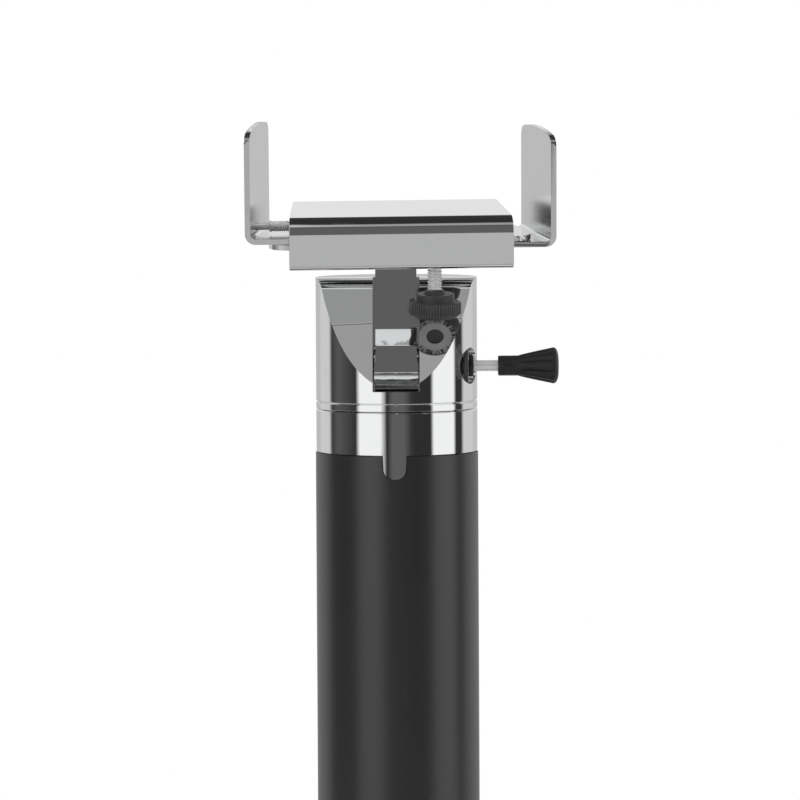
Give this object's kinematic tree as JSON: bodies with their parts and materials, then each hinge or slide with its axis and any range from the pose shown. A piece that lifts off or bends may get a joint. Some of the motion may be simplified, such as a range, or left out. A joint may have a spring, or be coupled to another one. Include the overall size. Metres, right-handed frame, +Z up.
{
  "type": "tilting cradle stand",
  "caption": "Black round column on a weighted round base, carrying a chromed swivelling head with a tilting arm and a box channel from which two L-shaped brackets slide out as jaws",
  "frame": {"origin": "centre of the round base's footprint, on the surface it stands on", "axes": "+Z up, front along -Y, right-hand clamp knob along +X"},
  "size_m": [0.2, 0.2, 0.4173],
  "materials": {
    "black_coat": "satin black powder coat",
    "chrome": "polished chrome plate",
    "steel": "zinc plated steel",
    "black_plastic": "moulded black plastic",
    "black_metal": "black oxide steel",
    "rubber": "moulded rubber",
    "nylon": "natural nylon",
    "brass": "turned brass"
  },
  "bodies": {
    "column": {"base_plate": "black_coat", "foot_1": "rubber", "foot_2": "rubber", "foot_3": "rubber", "foot_4": "rubber", "foot_screw_1": "steel", "foot_screw_2": "steel", "foot_screw_3": "steel", "foot_screw_4": "steel", "column_plug": "black_metal", "plug_screw_1": "steel", "plug_screw_2": "steel", "plug_screw_3": "steel", "column_tube": "black_coat", "tube_screw_lower_1": "steel", "tube_screw_lower_2": "steel", "tube_screw_upper_1": "steel", "tube_screw_upper_2": "steel", "cap_ring": "chrome", "glide_washer": "nylon", "swivel_washer": "steel", "spring_washer": "steel"},
    "head": {"head_collar": "chrome", "swivel_bolt": "steel", "tilt_nut": "steel", "friction_washer_left": "black_metal", "friction_washer_right": "black_metal"},
    "clamp_thrust": {"thrust_washer": "black_metal"},
    "tilt_clamp": {"tilt_clamp_screw": "steel", "clamp_bushing": "black_plastic", "tilt_clamp_knob": "black_plastic"},
    "cradle": {"tilt_arm": "chrome", "arm_screw_1": "steel", "arm_screw_2": "steel", "channel_body": "chrome", "slide_guide_lower": "nylon", "slide_guide_upper": "nylon", "guide_screw_1": "steel", "guide_screw_2": "steel", "clamp_nut": "steel"},
    "leg_shoe": {"clamp_shoe": "brass"},
    "leg_clamp": {"thumb_screw": "steel", "thumb_knob": "black_metal"},
    "left_jaw": {"left_bracket": "chrome", "stop_rod": "steel", "stop_collar": "brass"},
    "right_jaw": {"right_bracket": "chrome", "stop_pin": "steel"}
  },
  "joints": [
    {"name": "head_swivel", "type": "hinge", "parent": "column", "child": "head", "pos_m": [0, 0, 0.2937], "axis": [0, 0, 1], "continuous": true},
    {"name": "clamp_travel", "type": "slide", "parent": "head", "child": "clamp_thrust", "axis": [1, 0, 0], "range_m": [0, 0.0015]},
    {"name": "clamp_turn", "type": "hinge", "parent": "clamp_thrust", "child": "tilt_clamp", "pos_m": [0.05, -0.014, 0.3126], "axis": [1, 0, 0], "range_deg": [0, 540]},
    {"name": "head_tilt", "type": "hinge", "parent": "head", "child": "cradle", "pos_m": [0, -0.014, 0.3126], "axis": [1, 0, 0], "range_deg": [-4, 75]},
    {"name": "shoe_travel", "type": "slide", "parent": "cradle", "child": "leg_shoe", "axis": [0, -0.1219, 0.9925], "range_m": [-0.0006, 0]},
    {"name": "thumb_turn", "type": "hinge", "parent": "leg_shoe", "child": "leg_clamp", "pos_m": [0.01662, -0.03397, 0.35565], "axis": [0, -0.1219, 0.9925], "range_deg": [-171, 0]},
    {"name": "left_slide", "type": "slide", "parent": "cradle", "child": "left_jaw", "axis": [-0.9982, -0.0589, -0.0072], "range_m": [-0.002, 0.036]},
    {"name": "right_slide", "type": "slide", "parent": "cradle", "child": "right_jaw", "axis": [0.9982, 0.0589, 0.0072], "range_m": [-0.002, 0.036]}
  ],
  "couplings": [
    {"joint": "clamp_turn", "follows": "clamp_travel", "rad_per_m": 6283.2},
    {"joint": "thumb_turn", "follows": "shoe_travel", "rad_per_m": 4947.4}
  ]
}
